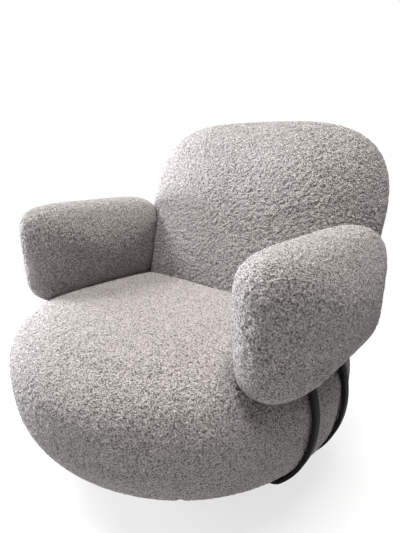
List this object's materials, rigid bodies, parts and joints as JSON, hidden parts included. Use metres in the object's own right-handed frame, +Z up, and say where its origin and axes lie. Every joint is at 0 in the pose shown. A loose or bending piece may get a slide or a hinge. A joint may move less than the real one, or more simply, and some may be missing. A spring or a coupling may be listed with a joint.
{
  "type": "swivel tub chair",
  "caption": "Round upholstered swivel lounge chair: a pouf seat, a leaning pillow back and pillow arms carried on bent flat steel bars.",
  "frame": {"origin": "on the floor, on the swivel axis under the middle of the seat", "axes": "+X across the chair, to the right as seen from its front; +Y to the back pillow; +Z up; the sitter faces -Y"},
  "size_m": [0.8856, 0.8466, 0.8153],
  "materials": {
    "upholstery": "light warm grey boucle, curly and mottled",
    "arm_bar_steel": "black satin powder coat",
    "base_steel": "black satin powder coat",
    "frame_wood": "raw birch plywood",
    "webbing": "woven elastic webbing",
    "foam": "open cell polyurethane foam",
    "felt": "pressed wool felt",
    "slide_plastic": "natural nylon",
    "fastener_steel": "zinc plated"
  },
  "bodies": {
    "base": {"base_pads": "felt", "base_plate": "base_steel", "pedestal": "base_steel", "slide_ring": "slide_plastic", "pivot_bolt": "fastener_steel", "pivot_nut": "fastener_steel"},
    "chair": {"seat_cushion": "upholstery", "back_cushion": "upholstery", "right_arm_cushion": "upholstery", "left_arm_cushion": "upholstery", "right_front_arm_bar": "arm_bar_steel", "left_front_arm_bar": "arm_bar_steel", "right_rear_arm_bar": "arm_bar_steel", "left_rear_arm_bar": "arm_bar_steel", "swivel_plate": "base_steel", "back_brackets": "base_steel", "bottom_board": "frame_wood", "frame_posts": "frame_wood", "seat_board": "frame_wood", "back_board": "frame_wood", "right_arm_board": "frame_wood", "left_arm_board": "frame_wood", "seat_straps_along": "webbing", "seat_straps_across": "webbing", "back_straps_up": "webbing", "back_straps_across": "webbing", "swivel_plate_screws": "fastener_steel", "bracket_foot_screws": "fastener_steel", "bracket_back_screws": "fastener_steel", "tail_screws": "fastener_steel", "arm_board_screws": "fastener_steel", "seat_foam": "foam"}
  },
  "joints": [
    {"name": "swivel", "type": "hinge", "parent": "base", "child": "chair", "pos_m": [0, 0, 0.09], "axis": [0, 0, 1], "continuous": true}
  ]
}
